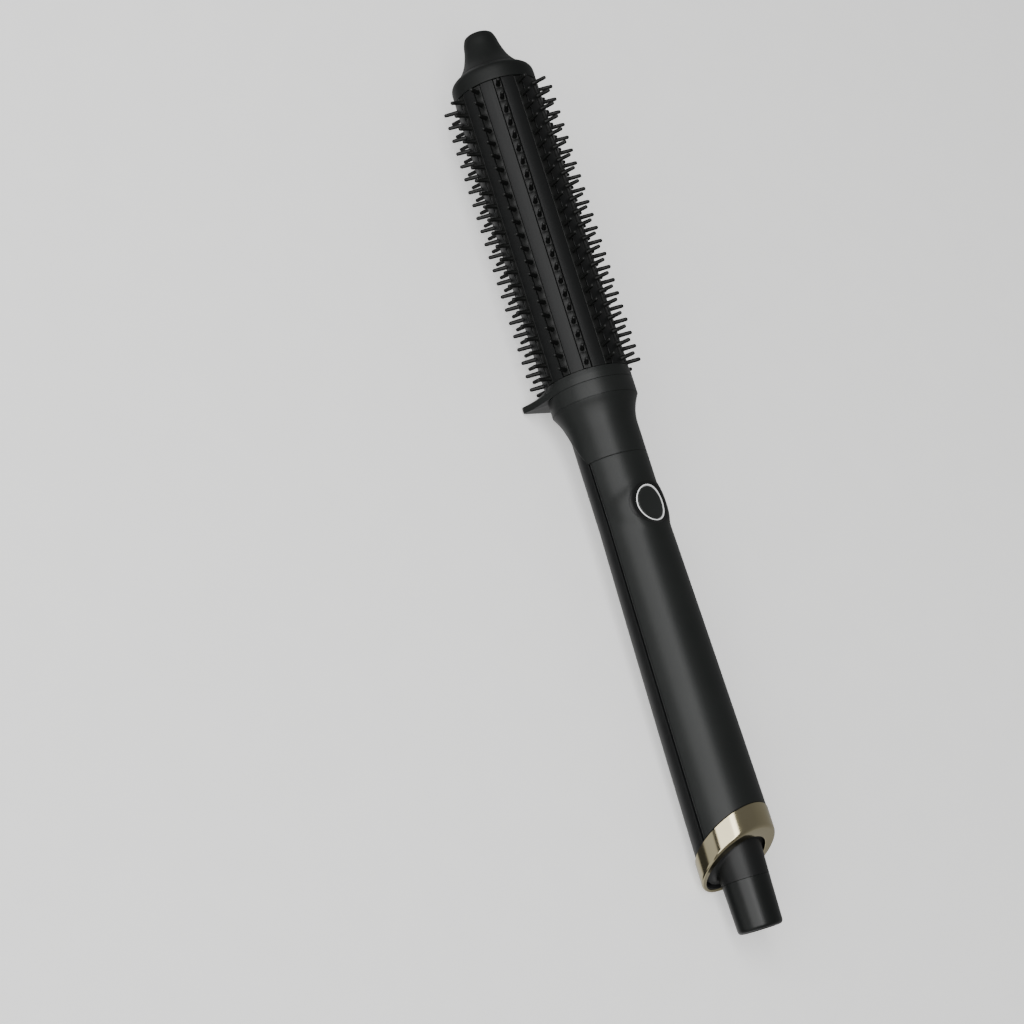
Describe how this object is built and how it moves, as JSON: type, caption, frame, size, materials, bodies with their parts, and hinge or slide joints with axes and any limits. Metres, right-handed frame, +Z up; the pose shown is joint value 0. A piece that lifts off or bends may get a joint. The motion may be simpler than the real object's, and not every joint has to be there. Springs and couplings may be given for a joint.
{
  "type": "hot brush",
  "caption": "Heated round hair brush with bristle strips round a barrel, rest foot, tapered handle, oval lit button, slanted end ring and swivel cord end.",
  "frame": {"origin": "middle of the brush's bounding box, on the surface that it lies on", "axes": "lying on its foot and end ring: +X towards the cord end, the cool tip towards -X, +Z up, which is where the power button faces"},
  "size_m": [0.3482, 0.042, 0.0482],
  "materials": {
    "charcoal_plastic": "fine matt, soft-touch",
    "dark_plastic": "matt",
    "swivel_plastic": "satin",
    "inner_plastic": "matt",
    "satin_black_coating": "satin baked coating on aluminium",
    "bristle_nylon": "smooth",
    "champagne_metal": "polished pale gold",
    "light_guide": "clear white",
    "bare_aluminium": "extruded",
    "brass_contact": "bright",
    "steel_plate": "zinc plated",
    "white_ceramic": "fired ceramic",
    "capacitor_film": "box case",
    "board_laminate": "solder mask",
    "lead_insulation": "silicone"
  },
  "bodies": {
    "handle": {"front_shell": "charcoal_plastic", "neck_cover": "charcoal_plastic", "neck_band": "charcoal_plastic", "foot_collar": "charcoal_plastic", "cool_tip": "charcoal_plastic", "rear_shell": "dark_plastic", "end_cap": "dark_plastic", "button_bezel": "dark_plastic", "barrel_carrier": "inner_plastic", "contact_carrier": "inner_plastic", "tact_switch": "inner_plastic", "triac": "inner_plastic", "control_chip": "inner_plastic", "barrel_shell": "satin_black_coating", "bristle_strip_01": "bristle_nylon", "bristle_strip_02": "bristle_nylon", "bristle_strip_03": "bristle_nylon", "bristle_strip_04": "bristle_nylon", "bristle_strip_05": "bristle_nylon", "bristle_strip_06": "bristle_nylon", "bristle_strip_07": "bristle_nylon", "bristle_strip_08": "bristle_nylon", "bristle_strip_09": "bristle_nylon", "bristle_strip_10": "bristle_nylon", "bristle_strip_11": "bristle_nylon", "bristle_strip_12": "bristle_nylon", "end_ring": "champagne_metal", "light_ring": "light_guide", "indicator_lamp": "light_guide", "heat_spreader_upper": "bare_aluminium", "heat_spreader_lower": "bare_aluminium", "contact_wiper_live": "brass_contact", "contact_wiper_neutral": "brass_contact", "thermal_fuse": "steel_plate", "board_screw_upper": "steel_plate", "board_screw_lower": "steel_plate", "ceramic_heater": "white_ceramic", "temperature_sensor": "white_ceramic", "film_capacitor": "capacitor_film", "control_board": "board_laminate", "supply_lead_live": "lead_insulation", "supply_lead_neutral": "lead_insulation", "heater_lead_live": "lead_insulation", "heater_lead_neutral": "lead_insulation"},
    "button": {"power_button": "dark_plastic"},
    "plunger": {"switch_plunger": "light_guide"},
    "swivel": {"swivel_sleeve": "swivel_plastic", "swivel_clip": "steel_plate", "slip_ring_live": "brass_contact", "slip_ring_neutral": "brass_contact"}
  },
  "joints": [
    {"name": "button_press", "type": "slide", "parent": "handle", "child": "button", "axis": [-0.0399, 0, -0.9992], "range_m": [0, 0.0005], "stiffness_N_per_m": 200},
    {"name": "plunger_press", "type": "slide", "parent": "handle", "child": "plunger", "axis": [-0.0399, 0, -0.9992], "range_m": [0, 0.0005]},
    {"name": "swivel_turn", "type": "hinge", "parent": "handle", "child": "swivel", "pos_m": [0.17382, 0, 0.01442], "axis": [0.9992, 0, -0.0399], "continuous": true}
  ],
  "couplings": [
    {"joint": "plunger_press", "follows": "button_press", "ratio": 1}
  ]
}
